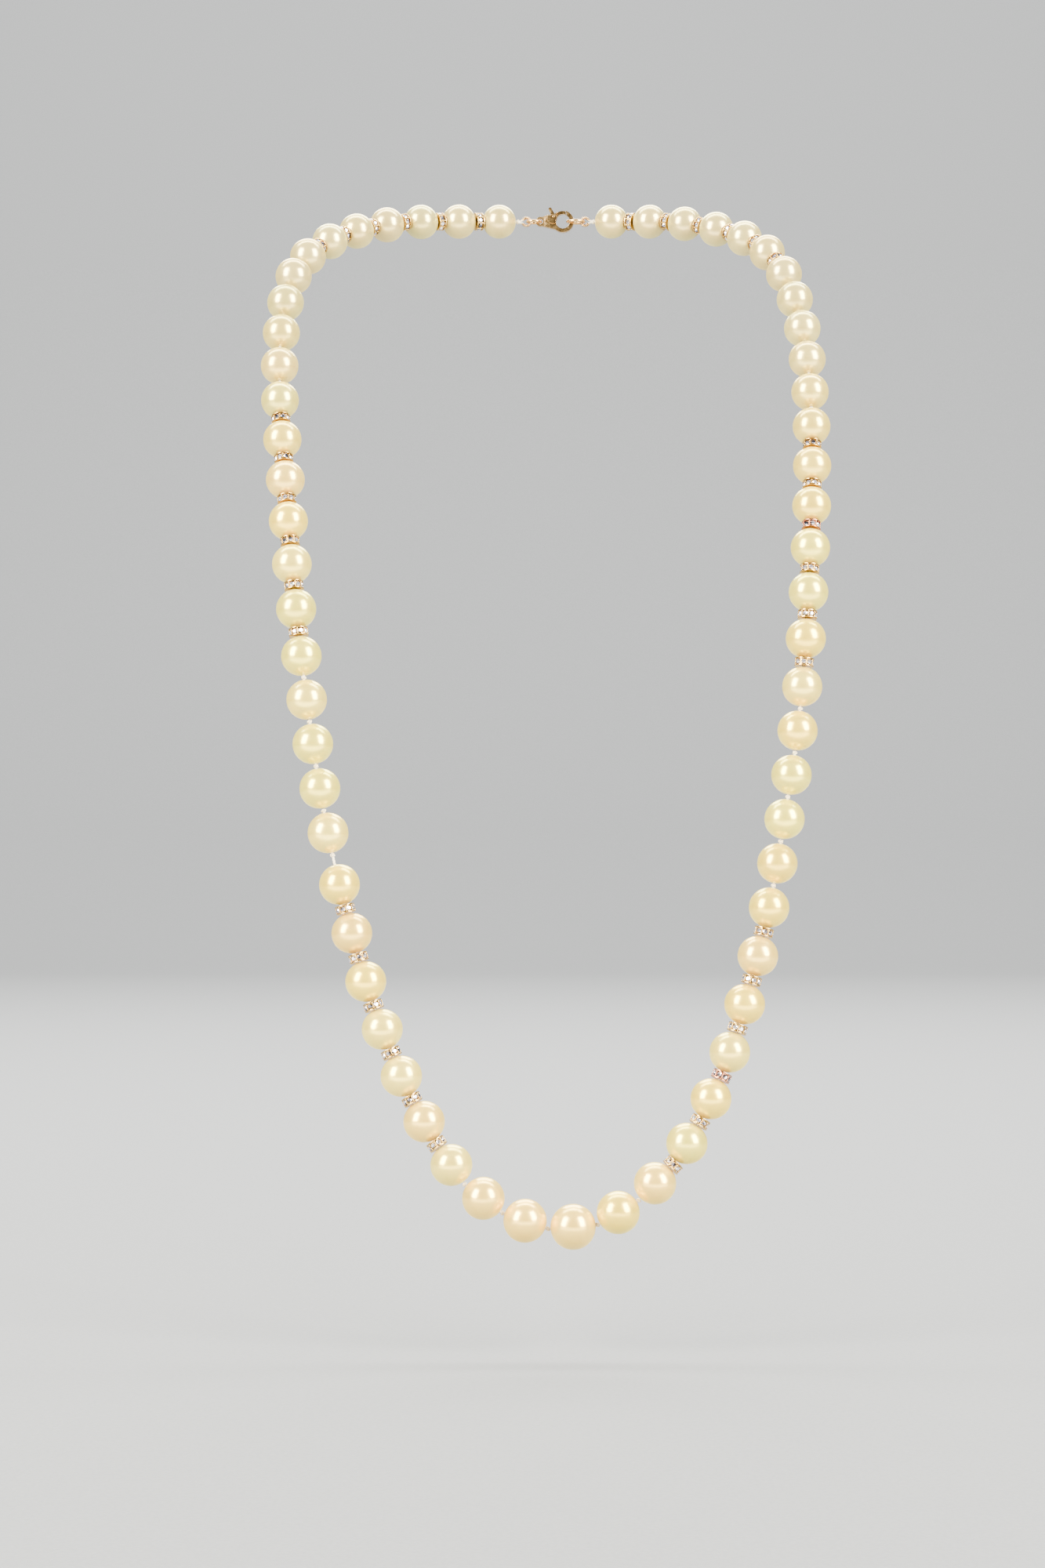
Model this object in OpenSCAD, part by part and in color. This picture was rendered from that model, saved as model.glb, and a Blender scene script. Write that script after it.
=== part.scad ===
// Pearl necklace on knotted silk with stone-set rondelles, in the shape it takes when worn.
// Millimetres. +X to the viewer's right, -Y towards the viewer, +Z up.
// The origin is the middle of the nape, where the strand bears on the back of the neck.

/* [Pearls] */

// Diameter of the front pearl, the biggest and the lowest
front_pearl = 12.5; // [12.0:0.1:12.8]

// Diameter of the pearls down the sides of the chest
side_pearl = 11.2; // [10.9:0.1:11.5]

// Diameter of the last pearl at each end, behind the neck
end_pearl = 10.4; // [10.0:0.1:10.8]

// How much bigger the pearls run on the left side
left_extra = 0.12; // [0:0.02:0.16]

// Hole drilled through each pearl
pearl_bore = 1.0; // [0.9:0.05:1.05]

/* [Silk] */

// Thickness of the silk
silk_thickness = 0.76; // [0.6:0.02:0.78]

// Diameter of each knot
knot_size = 1.5; // [1.4:0.05:1.5]

// Space between two pearls that have a knot between them
knot_gap = 1.3; // [1.3:0.05:1.6]

// Space at the one slack knot on the left, which shows bare silk
slack_gap = 3.4; // [2.0:0.1:4.0]

/* [Rondelles] */

// Diameter over the flanges
rondelle_size = 5.5; // [5.3:0.1:6.0]

// Thickness along the strand
rondelle_thickness = 2.35; // [2.3:0.05:2.6]

// Thickness of each flange
flange_thickness = 0.3; // [0.25:0.05:0.35]

// Hole through the rondelle
rondelle_bore = 1.2; // [1.1:0.05:1.3]

// Stones round each rondelle
stone_count = 8; // [6:1:8]

// Width of each stone
stone_size = 1.5; // [1.4:0.05:1.5]

/* [Clasp] */

// Outside diameter of the clasp's hook
hook_size = 6.8; // [6.6:0.1:7.0]

// Thickness of the clasp's hook
hook_thickness = 2.0; // [1.8:0.1:2.0]

// Diameter of the rivet pin
pin_size = 0.7; // [0.6:0.02:0.7]

// Wire of the jump ring at the clasp's eye
jump_ring_wire = 0.84; // [0.7:0.02:0.84]

// Wire of the ring that the clasp hooks on
end_ring_wire = 0.9; // [0.8:0.02:0.9]

// Outside thickness of the French wire over the silk
gimp_thickness = 0.9; // [0.86:0.02:0.9]

/* [Part] */

// Sub-part to show

/* [Hidden] */

$fn = 64;

pearl_cream = [0.93, 0.86, 0.74];
silk_white = [0.95, 0.92, 0.84];
gold = [0.80, 0.64, 0.36];
stone_clear = [0.90, 0.90, 0.95];

// The line of the strand, a closed loop of hand-set points: from the front
// pearl up the left side, round the nape and down the right side.
route = [
    [8.5, -135, -297],
    [-17, -133, -288.5],
    [-33.5, -128.5, -266],
    [-45, -124.5, -240.5],
    [-53, -121.5, -215],
    [-59.5, -119, -188],
    [-64, -116.5, -162],
    [-67.5, -112, -137],
    [-70.5, -104, -112],
    [-73, -93, -88.5],
    [-75.5, -80.5, -64],
    [-76, -68, -42],
    [-73, -52, -22],
    [-62.5, -33, -9.5],
    [-44.5, -13.5, -1.5],
    [-24, -1.5, 1],
    [0, 2, 1.5],
    [24, -1.5, 1],
    [44.5, -13.5, -1.5],
    [63, -33, -9.5],
    [72.5, -51, -22],
    [77, -67, -42],
    [78, -80, -62],
    [77.5, -92, -84.5],
    [76, -104, -108],
    [74, -112.5, -134],
    [71.5, -116.5, -159],
    [67.5, -119, -184.5],
    [63, -121.5, -209.5],
    [56, -125, -236],
    [46.5, -129, -262],
    [31, -133, -285]
];

// The route is a smooth curve through those points.
route_steps = 12;
route_count = len(route);

function on_route(i, t) =
    let (
        a = route[(i + route_count - 1) % route_count],
        b = route[i],
        c = route[(i + 1) % route_count],
        d = route[(i + 2) % route_count]
    )
    b + t * (c - a) / 2
    + t * t * (2 * a - 5 * b + 4 * c - d) / 2
    + t * t * t * (3 * b - a - 3 * c + d) / 2;

curve = [
    for (i = [0 : route_count - 1], j = [0 : route_steps - 1])
        on_route(i, j / route_steps),
    route[0]
];
curve_last = len(curve) - 1;
curve_run = [
    for (
        i = 0, s = 0;
        i <= curve_last;
        s = i < curve_last ? s + norm(curve[i + 1] - curve[i]) : s,
        i = i + 1
    ) s
];

// Pearls are counted up each side from the middle knot. The side is -1 on the
// left and 1 on the right. The front pearl is the first one on the right.
pearls_each_side = 31;
first_nape_pearl = 23;

pearl_sizes = [
    [0, front_pearl],
    [1, side_pearl + 0.6],
    [2, side_pearl + 0.4],
    [3, side_pearl + 0.2],
    [4, side_pearl + 0.1],
    [8, side_pearl],
    [14, side_pearl],
    [20, side_pearl - 0.4],
    [31, end_pearl]
];

function pearl_size(side, m) =
    side > 0 ? lookup(m - 1, pearl_sizes)
    : lookup(m, pearl_sizes) + left_extra;

// A gap has the number of the pearl below it. Five knots over the front are
// followed by six rondelles, then five knots, and so on up each side.
knots_to_first_rondelle = 3;
pattern_length = 11;
rondelles_in_pattern = 6;

function has_rondelle(g) =
    g >= knots_to_first_rondelle
    && (g - knots_to_first_rondelle) % pattern_length < rondelles_in_pattern;

// Play at a rondelle's upper face, where the strand bends, and at its lower face.
face_gap = 0.2;
seat_gap = 0.05;
slack_knot = 9;

function space_over_bend(g) = has_rondelle(g) ? face_gap : knot_gap / 2;

function space_under_bend(side, g) =
    has_rondelle(g) ? seat_gap + rondelle_thickness
    : side < 0 && g == slack_knot ? slack_gap - knot_gap / 2
    : knot_gap / 2;

function link_length(side, m) =
    space_over_bend(m - 1) + pearl_size(side, m) + space_under_bend(side, m);

// How far each bend lies along the strand from the middle of the front pearl.
function reach(side, g) =
    g == 0 ? -side * (front_pearl / 2 + space_over_bend(0))
    : reach(side, g - 1) + link_length(side, g);

// The clasp's parts in a row, measured along it from the left gimp loop.
gimp_loop = 1.25;
jump_ring_loop = 2.1;
end_ring_loop = 2.6;
link_play = 0.05;
gimp_outer = gimp_loop + gimp_thickness / 2;
eye_to_hook = 7;
eye_hole = 0.8;
eye_radius = 1.5;
eye_thickness = 1.6;
hook_wall = 1.2;
ring_in_hook = 0.8;

left_gimp_at = gimp_outer;
jump_ring_at = left_gimp_at + gimp_loop + jump_ring_loop
    - gimp_thickness / 2 - jump_ring_wire / 2 - link_play;
eye_at = jump_ring_at + jump_ring_loop;
hook_at = eye_at + eye_to_hook;
end_ring_at = hook_at + hook_size / 2 - hook_wall - ring_in_hook + end_ring_loop;
right_gimp_at = end_ring_at + end_ring_loop + gimp_loop
    - gimp_thickness / 2 - end_ring_wire / 2 - link_play;
clasp_length = right_gimp_at + gimp_outer;

// Bare silk between each end knot and its gimp loop.
end_silk = 1.0;

// The route is sized so that the whole string closes round it.
string_length = reach(-1, pearls_each_side) + reach(1, pearls_each_side)
    + clasp_length + 2 * end_silk;
fit = string_length / curve_run[curve_last];

function along_axis(k) =
    [for (i = [0 : curve_last]) [curve_run[i] * fit, curve[i][k] * fit]];

curve_x = along_axis(0);
curve_y = along_axis(1);
curve_z = along_axis(2);

function on_curve(s) =
    let (w = s < 0 ? s + string_length : s)
    [lookup(w, curve_x), lookup(w, curve_y), lookup(w, curve_z)];

left_bends = [for (g = [0 : pearls_each_side]) on_curve(reach(-1, g))];
right_bends = [for (g = [0 : pearls_each_side]) on_curve(-reach(1, g))];

function bend(side, g) = side < 0 ? left_bends[g] : right_bends[g];

// The strand folds across itself at every second gap. Row 0 is the nape, which
// stays put, and row 11 is the lowest.
last_row = 11;

function lowest_pearl(row) = first_nape_pearl - 2 * row;

function highest_pearl(row) =
    row == 0 ? pearls_each_side : lowest_pearl(row) + 1;

silk_r = silk_thickness / 2;
knot_r = knot_size / 2;
thread_clearance = 0.05;
silk_end_play = 0.15;

// Puts its children at point a, with +Z towards point b.
module from_to(a, b) {
    d = b - a;
    translate(a)
        rotate([0, acos(d.z / norm(d)), atan2(d.y, d.x)])
            children();
}

module on_link(side, m) {
    from_to(bend(side, m - 1), bend(side, m))
        children();
}

module pearl(side, m) {
    size = pearl_size(side, m);
    on_link(side, m)
        translate([0, 0, space_over_bend(m - 1) + size / 2])
            difference() {
                sphere(d = size);
                cylinder(d = pearl_bore, h = size + 1, center = true);
            }
}

module pearls(row) {
    color(pearl_cream)
        for (side = [-1, 1], m = [lowest_pearl(row) : highest_pearl(row)])
            pearl(side, m);
}

// The silk is swept through rings, each a middle and a radius. A knot is a ball
// of rings round a bend.
silk_sides = 8;
knot_steps = [-0.85, -0.5, 0, 0.5, 0.85];

// A way across the strand that no length of it runs along.
across_strand = [0, -0.9, 0.4];

// The rings of a knot that lie from one step to another, along a link's way.
function knot_rings(middle, way, from, to) =
    [
        for (step = knot_steps)
            if (step >= from && step <= to)
                [middle + way * step * knot_r, knot_r * sqrt(1 - step * step)]
    ];

function link_rings(side, m, row) =
    let (
        a = bend(side, m - 1),
        b = bend(side, m),
        way = (b - a) / norm(b - a),
        starts_row = m == lowest_pearl(row) && m > 1,
        ends_row = m == highest_pearl(row)
    )
    concat(
        starts_row
            ? [[a + way * (has_rondelle(m - 1) ? 0 : knot_r + thread_clearance), silk_r]]
            : has_rondelle(m - 1) ? [] : knot_rings(a, way, 0.1, 1),
        has_rondelle(m)
            ? [[b - way * (ends_row ? silk_end_play : 0), silk_r]]
            : knot_rings(b, way, -1, ends_row ? 1 : 0)
    );

function side_rings(side, row) =
    [
        for (m = [lowest_pearl(row) : highest_pearl(row)])
            each link_rings(side, m, row)
    ];

module sweep(rings) {
    last = len(rings) - 1;
    points = [
        for (i = [0 : last])
            let (
                ahead = rings[min(i + 1, last)][0] - rings[max(i - 1, 0)][0],
                over = cross(across_strand, ahead),
                u = over / norm(over),
                v = cross(ahead, u) / norm(ahead)
            )
            for (k = [0 : silk_sides - 1])
                let (turn = k * 360 / silk_sides)
                rings[i][0] + rings[i][1] * (cos(turn) * u + sin(turn) * v)
    ];
    walls = [
        for (i = [0 : last - 1], k = [0 : silk_sides - 1])
            let (
                low = i * silk_sides + k,
                low_next = i * silk_sides + (k + 1) % silk_sides,
                high = low + silk_sides,
                high_next = low_next + silk_sides
            )
            each [[low, high, high_next], [low, high_next, low_next]]
    ];
    start_cap = [for (k = [0 : silk_sides - 1]) k];
    end_cap = [for (k = [silk_sides - 1 : -1 : 0]) last * silk_sides + k];
    polyhedron(points, concat(walls, [start_cap, end_cap]));
}

module silk(row) {
    color(silk_white)
        for (side = [-1, 1])
            sweep(side_rings(side, row));
}

// The lowest row is one length of silk with the middle knot in it.
module front_silk() {
    left = side_rings(-1, last_row);
    right = side_rings(1, last_row);
    color(silk_white)
        sweep(concat(
            [for (i = [len(left) - 1 : -1 : 0]) left[i]],
            [[bend(1, 0), knot_r]],
            right
        ));
}

channel_depth = 0.85;
stone_sides = 8;
stone_play = 0.02;
stone_below_rim = 0.05;

// Flanges on a short tube, with the channel for the stones between them.
module rondelle_setting() {
    outer = rondelle_size / 2;
    floor_r = outer - channel_depth;
    top = -flange_thickness;
    bottom = flange_thickness - rondelle_thickness;
    rotate_extrude()
        polygon([
            [rondelle_bore / 2, 0],
            [outer, 0],
            [outer, top],
            [floor_r, top],
            [floor_r, bottom],
            [outer, bottom],
            [outer, -rondelle_thickness],
            [rondelle_bore / 2, -rondelle_thickness]
        ]);
}

module rondelle_stones() {
    outer = rondelle_size / 2 - stone_below_rim;
    floor_r = rondelle_size / 2 - channel_depth - stone_play;
    half_side = 180 / stone_sides;
    for (i = [0 : stone_count - 1])
        rotate([0, 0, (i + 0.5) * 360 / stone_count])
            translate([floor_r, 0, -rondelle_thickness / 2])
                rotate([0, 90, 0])
                    rotate([0, 0, half_side])
                        cylinder(
                            d = stone_size / cos(half_side),
                            h = outer - floor_r,
                            $fn = stone_sides
                        );
}

// Puts its children on every rondelle of a row, with the upper face at Z = 0.
module on_rondelles(row) {
    for (side = [-1, 1], m = [lowest_pearl(row) : highest_pearl(row)])
        if (has_rondelle(m))
            on_link(side, m)
                translate([0, 0, norm(bend(side, m) - bend(side, m - 1))])
                    children();
}

module settings(row) {
    color(gold)
        on_rondelles(row)
            rondelle_setting();
}

module stones(row) {
    color(stone_clear)
        on_rondelles(row)
            rondelle_stones();
}

// The clasp's own frame: X from the left end knot to the right one, with its
// zero at the start of the left gimp loop.
clasp_left = bend(-1, pearls_each_side);
clasp_right = bend(1, pearls_each_side);
clasp_span = norm(clasp_right - clasp_left);
clasp_way = (clasp_right - clasp_left) / clasp_span;
clasp_start = (clasp_left + clasp_right) / 2 - clasp_way * clasp_length / 2;

module in_clasp(x) {
    translate(clasp_start)
        rotate([0, -asin(clasp_way.z), atan2(clasp_way.y, clasp_way.x)])
            translate([x, 0, 0])
                children();
}

// A ring of round wire standing in the clasp's plane or lying across it.
module wire_ring(loop, wire) {
    rotate_extrude()
        translate([loop, 0])
            circle(d = wire);
}

module standing() {
    rotate([90, 0, 0])
        children();
}

gimp_inner = 0.62;
gimp_mouth = 50;
gimp_silk = 0.54;

// French wire: a tube bent into a loop, open where the silk goes in.
module gimp_tube() {
    rotate([0, 0, gimp_mouth / 2])
        rotate_extrude(angle = 360 - gimp_mouth)
            translate([gimp_loop, 0])
                difference() {
                    circle(d = gimp_thickness);
                    circle(d = gimp_inner);
                }
}

module gimp() {
    color(gold) {
        in_clasp(left_gimp_at)
            rotate([0, 0, 180])
                standing()
                    gimp_tube();
        in_clasp(right_gimp_at)
            standing()
                gimp_tube();
    }
}

// Past each end knot the silk turns round inside its gimp loop.
turn_start = 22;
turn_step = 15.8;

function turn_rings(middle, inward) =
    let (
        over = [0, 0, 1] - clasp_way.z * clasp_way,
        up = over / norm(over)
    )
    [
        for (turn = [turn_start : turn_step : 360 - turn_start])
            [middle + gimp_loop * (sin(turn) * up - cos(turn) * inward), gimp_silk / 2]
    ];

module silk_nape() {
    left_loop = clasp_start + clasp_way * left_gimp_at;
    right_loop = clasp_start + clasp_way * right_gimp_at;
    color(silk_white) {
        sweep(concat(side_rings(-1, 0), turn_rings(left_loop, clasp_way)));
        sweep(concat(side_rings(1, 0), turn_rings(right_loop, -clasp_way)));
    }
}

module jump_ring() {
    color(gold)
        in_clasp(jump_ring_at)
            wire_ring(jump_ring_loop, jump_ring_wire);
}

module end_ring() {
    color(gold)
        in_clasp(end_ring_at)
            wire_ring(end_ring_loop, end_ring_wire);
}

// The clasp is drawn flat, with the hook's middle at zero and the eye to the left.
hook_r = hook_size / 2;
hook_hole = hook_r - hook_wall;
pivot = [-3, 1.5];
body_thickness = 2.8;
eye_shoulder = 0.2;
slot_width = 1.9;
slot_r = 1.7;
lever_thickness = 1.7;
lever_reach = 4.05;
groove_width = 0.84;
groove_r = 1.15;
pin_clearance = 0.05;

module neck_shape() {
    polygon([
        [-eye_to_hook - 0.6, 1.2],
        [-eye_to_hook - 0.6, -1.2],
        [-2.2, -2.5],
        [-2.2, 2.5]
    ]);
}

module clasp_outline() {
    difference() {
        union() {
            circle(r = hook_r);
            neck_shape();
            translate([-eye_to_hook, 0])
                circle(r = eye_radius);
        }
        circle(r = hook_hole);
        translate([-eye_to_hook, 0])
            circle(r = eye_hole);
        intersection() {
            translate(pivot)
                circle(r = lever_reach + 0.1);
            translate([-1.9, 0.8])
                square([6, 4]);
        }
    }
}

module plate(thickness) {
    rotate([90, 0, 0])
        linear_extrude(height = thickness, center = true)
            children();
}

module clasp_body() {
    color(gold)
        in_clasp(hook_at)
            difference() {
                union() {
                    plate(eye_thickness)
                        clasp_outline();
                    plate(hook_thickness)
                        intersection() {
                            clasp_outline();
                            translate([-eye_to_hook + eye_radius - eye_shoulder, -hook_r])
                                square([eye_to_hook + hook_size, hook_size]);
                        }
                    plate(body_thickness)
                        intersection() {
                            clasp_outline();
                            translate(pivot)
                                circle(r = slot_r + 0.5);
                        }
                }
                plate(slot_width)
                    translate(pivot)
                        circle(r = slot_r);
                plate(body_thickness + 1)
                    translate(pivot)
                        circle(d = pin_size);
            }
}

module lever_outline() {
    difference() {
        union() {
            translate(pivot)
                circle(r = 1);
            intersection() {
                difference() {
                    circle(r = hook_r - 0.1);
                    circle(r = hook_hole + 0.1);
                }
                translate(pivot)
                    circle(r = lever_reach);
                polygon([[-2.9, 1.45], [-2, 1.1], [0, 0.6], [4, 2], [4, 5], [-2.4, 5], [-2.9, 2.2]]);
            }
            polygon([[-3.7, 2], [-2.6, 2.3], [-3.6, 4.1], [-4.5, 3.7]]);
            translate([-4.05, 3.9])
                circle(r = 0.5);
        }
        translate(pivot)
            circle(d = pin_size + 2 * pin_clearance);
    }
}

module clasp_trigger() {
    color(gold)
        in_clasp(hook_at)
            difference() {
                plate(lever_thickness)
                    lever_outline();
                plate(groove_width)
                    translate(pivot)
                        circle(r = groove_r);
            }
}

module clasp_pin() {
    color(gold)
        in_clasp(hook_at)
            plate(body_thickness)
                translate(pivot)
                    circle(d = pin_size);
}

spring_wire = 0.18;
spring_coil = 0.53;
spring_turns = 3;
spring_pitch = 0.17;

// A leg of the clasp's spring from one point of its plane to another.
module spring_leg(a, b) {
    d = b - a;
    translate([a.x, 0, a.y])
        rotate([0, 90 - atan2(d.y, d.x), 0])
            cylinder(d = spring_wire, h = norm(d));
}

module clasp_spring() {
    color(gold)
        in_clasp(hook_at)
            translate([pivot.x, 0, pivot.y])
                union() {
                    for (i = [0 : spring_turns - 1])
                        translate([0, (i - (spring_turns - 1) / 2) * spring_pitch, 0])
                            standing()
                                wire_ring(spring_coil, spring_wire);
                    spring_leg([0, -spring_coil], [-1.5, -spring_coil]);
                    spring_leg([0, -spring_coil], [1.04, -0.04]);
                }
}

module pearls_nape() {
    pearls(0);
}

module pearls_row_01() {
    pearls(1);
}

module pearls_row_02() {
    pearls(2);
}

module pearls_row_03() {
    pearls(3);
}

module pearls_row_04() {
    pearls(4);
}

module pearls_row_05() {
    pearls(5);
}

module pearls_row_06() {
    pearls(6);
}

module pearls_row_07() {
    pearls(7);
}

module pearls_row_08() {
    pearls(8);
}

module pearls_row_09() {
    pearls(9);
}

module pearls_row_10() {
    pearls(10);
}

module pearls_row_11() {
    pearls(11);
}

module silk_row_01() {
    silk(1);
}

module silk_row_02() {
    silk(2);
}

module silk_row_03() {
    silk(3);
}

module silk_row_04() {
    silk(4);
}

module silk_row_05() {
    silk(5);
}

module silk_row_06() {
    silk(6);
}

module silk_row_07() {
    silk(7);
}

module silk_row_08() {
    silk(8);
}

module silk_row_09() {
    silk(9);
}

module silk_row_10() {
    silk(10);
}

module silk_row_11() {
    front_silk();
}

module settings_nape() {
    settings(0);
}

module settings_row_02() {
    settings(2);
}

module settings_row_03() {
    settings(3);
}

module settings_row_04() {
    settings(4);
}

module settings_row_05() {
    settings(5);
}

module settings_row_08() {
    settings(8);
}

module settings_row_09() {
    settings(9);
}

module settings_row_10() {
    settings(10);
}

module stones_nape() {
    stones(0);
}

module stones_row_02() {
    stones(2);
}

module stones_row_03() {
    stones(3);
}

module stones_row_04() {
    stones(4);
}

module stones_row_05() {
    stones(5);
}

module stones_row_08() {
    stones(8);
}

module stones_row_09() {
    stones(9);
}

module stones_row_10() {
    stones(10);
}

pearls_nape();
pearls_row_01();
pearls_row_02();
pearls_row_03();
pearls_row_04();
pearls_row_05();
pearls_row_06();
pearls_row_07();
pearls_row_08();
pearls_row_09();
pearls_row_10();
pearls_row_11();
silk_nape();
silk_row_01();
silk_row_02();
silk_row_03();
silk_row_04();
silk_row_05();
silk_row_06();
silk_row_07();
silk_row_08();
silk_row_09();
silk_row_10();
silk_row_11();
settings_nape();
settings_row_02();
settings_row_03();
settings_row_04();
settings_row_05();
settings_row_08();
settings_row_09();
settings_row_10();
stones_nape();
stones_row_02();
stones_row_03();
stones_row_04();
stones_row_05();
stones_row_08();
stones_row_09();
stones_row_10();
gimp();
jump_ring();
end_ring();
clasp_body();
clasp_trigger();
clasp_pin();
clasp_spring();
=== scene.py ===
"""A pearl necklace on knotted silk, with stone-set rondelles and a lobster clasp, in metres.

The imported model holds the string: where each pearl, bend, ring and hinge is. This script dresses
it. Each pearl, knot, rondelle, stone and clasp part is modelled once, copied to its place, and
rides on the row of the strand that it belongs to.
"""

import math
from collections import namedtuple

import bmesh
import bpy
import numpy as np
from mathutils import Matrix, Vector


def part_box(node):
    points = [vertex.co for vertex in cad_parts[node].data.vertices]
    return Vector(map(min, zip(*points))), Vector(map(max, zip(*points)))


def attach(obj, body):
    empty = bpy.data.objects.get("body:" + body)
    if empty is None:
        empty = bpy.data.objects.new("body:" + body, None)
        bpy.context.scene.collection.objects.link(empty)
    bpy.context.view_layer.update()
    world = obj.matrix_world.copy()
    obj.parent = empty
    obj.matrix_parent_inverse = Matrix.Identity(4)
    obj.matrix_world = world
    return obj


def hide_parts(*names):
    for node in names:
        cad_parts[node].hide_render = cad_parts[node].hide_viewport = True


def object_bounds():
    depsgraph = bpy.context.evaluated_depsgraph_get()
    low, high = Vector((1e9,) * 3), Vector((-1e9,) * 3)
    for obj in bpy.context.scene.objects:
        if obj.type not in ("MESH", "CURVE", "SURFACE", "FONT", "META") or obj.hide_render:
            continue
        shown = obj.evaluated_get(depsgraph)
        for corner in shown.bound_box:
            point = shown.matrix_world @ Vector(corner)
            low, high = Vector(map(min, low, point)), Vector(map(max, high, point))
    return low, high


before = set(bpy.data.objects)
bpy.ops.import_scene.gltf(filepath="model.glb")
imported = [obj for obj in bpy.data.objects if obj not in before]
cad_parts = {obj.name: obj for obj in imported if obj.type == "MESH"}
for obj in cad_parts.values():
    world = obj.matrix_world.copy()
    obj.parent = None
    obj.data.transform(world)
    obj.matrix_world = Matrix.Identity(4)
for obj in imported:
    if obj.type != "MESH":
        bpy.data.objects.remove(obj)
cad_low, cad_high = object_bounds()
MM = 0.001

# The string's pattern: three knots each side of the middle one, then six rondelles, five knots.
PEARLS_EACH_SIDE = 31
FIRST_RONDELLE = 3
PATTERN = 11
RONDELLES_IN_PATTERN = 6
LOWEST_ROW = 11
KNOT_SPACE = 0.65 * MM
FACE_SPACE = 0.2 * MM
SEAT_SPACE = 0.05 * MM
ROSE_GOLD_RONDELLES = [("right", 5), ("right", 17)]
OVAL_PEARLS = [("left", 10)]
OVAL = 0.965

# Parts of the strand.
SILK = 0.76 * MM
KNOT = 1.5 * MM
SILK_END_PLAY = 0.15 * MM
RONDELLE = 5.5 * MM
RONDELLE_THICK = 2.35 * MM
FLANGE_THICK = 0.3 * MM
CHANNEL_DEPTH = 0.85 * MM
RONDELLE_BORE = 1.2 * MM
STONES_ROUND = 8
STONE = 1.46 * MM

# Parts of the clasp.
GIMP_LOOP = 1.25 * MM
GIMP_THICK = 0.9 * MM
GIMP_MOUTH = math.radians(50)
GIMP_TO_JUMP_RING = 2.43 * MM
END_RING_TO_GIMP = 2.9 * MM

# Where a colour Mix node keeps its factor, its two colours and its result.
MIX_FACTOR, MIX_A, MIX_B, MIX_RESULT = 0, 6, 7, 2

Pearl = namedtuple("Pearl", "side number node middle radius way")


# ---------------------------------------------------------------- camera, lights and floor


def make_camera():
    """Level, from in front, far enough back for a long lens."""
    camera = bpy.data.objects.new("camera", bpy.data.cameras.new("camera"))
    camera.data.lens = 75.8
    camera.data.sensor_width = 36
    camera.data.clip_end = 20
    camera.location = (-0.0053, -1.035, -0.175)
    camera.rotation_euler = (math.radians(90), 0, 0)
    bpy.context.collection.objects.link(camera)
    bpy.context.scene.camera = camera


def panel(name, place, facing, width, height, power, colour=(1.0, 1.0, 1.0)):
    """A soft panel of light."""
    light = bpy.data.lights.new(name, "AREA")
    light.shape = "RECTANGLE"
    light.size = width
    light.size_y = height
    light.energy = power
    light.color = colour
    lamp = bpy.data.objects.new(name, light)
    lamp.location = place
    lamp.rotation_euler = facing.to_track_quat("-Z", "Y").to_euler()
    lamp.visible_camera = False
    bpy.context.collection.objects.link(lamp)


def softbox(name, azimuth, elevation, distance, width, height, power, colour=(1.0, 1.0, 1.0)):
    """A softbox that faces the middle of the strand."""
    a, e = math.radians(azimuth), math.radians(elevation)
    away = Vector((math.sin(a) * math.cos(e), -math.cos(a) * math.cos(e), math.sin(e)))
    place = (cad_low + cad_high) / 2 + away * distance
    panel(name, place, -away, width, height, power, colour)


def light_the_room():
    """Two softboxes in front give each pearl its pair of highlights, a card lights it from below.

    The room is dim at the front end, so that the middle of each pearl stays deeper than its rim.
    """
    softbox("softbox_left", -50, 24, 1.5, 0.62, 1.15, 140, (1.0, 0.97, 0.88))
    softbox("softbox_right", 50, 24, 1.5, 0.62, 1.15, 140, (1.0, 0.98, 0.91))
    softbox("softbox_back", 180, 40, 1.6, 1.2, 0.8, 60, (1.0, 0.98, 0.92))
    card_place = Vector((0, -0.32, cad_low.z - 28 * MM))
    panel("bounce_card", card_place, Vector((0, 0.2, 1)), 1.3, 0.50, 12, (1.0, 0.95, 0.80))
    panel("backdrop_light", Vector((0, 0.4, 1.4)), Vector((0, 0.75, -0.65)), 2.6, 0.8, 190)
    world = bpy.data.worlds.new("room")
    world.use_nodes = True
    nodes, links = world.node_tree.nodes, world.node_tree.links
    direction = nodes.new("ShaderNodeTexCoord")
    parts = nodes.new("ShaderNodeSeparateXYZ")
    dim_to_bright = nodes.new("ShaderNodeValToRGB")
    dim_to_bright.color_ramp.elements[0].color = (0.06, 0.055, 0.05, 1)
    dim_to_bright.color_ramp.elements[1].color = (1.0, 0.95, 0.78, 1)
    ray = nodes.new("ShaderNodeLightPath")
    pale_behind = nodes.new("ShaderNodeMix")
    pale_behind.data_type = "RGBA"
    pale_behind.inputs[MIX_B].default_value = (0.58, 0.58, 0.57, 1)
    links.new(direction.outputs["Generated"], parts.inputs["Vector"])
    links.new(parts.outputs["Y"], dim_to_bright.inputs["Fac"])
    links.new(ray.outputs["Is Camera Ray"], pale_behind.inputs[MIX_FACTOR])
    links.new(dim_to_bright.outputs["Color"], pale_behind.inputs[MIX_A])
    links.new(pale_behind.outputs[MIX_RESULT], nodes["Background"].inputs["Color"])
    nodes["Background"].inputs["Strength"].default_value = 1.3
    bpy.context.scene.world = world


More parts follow.
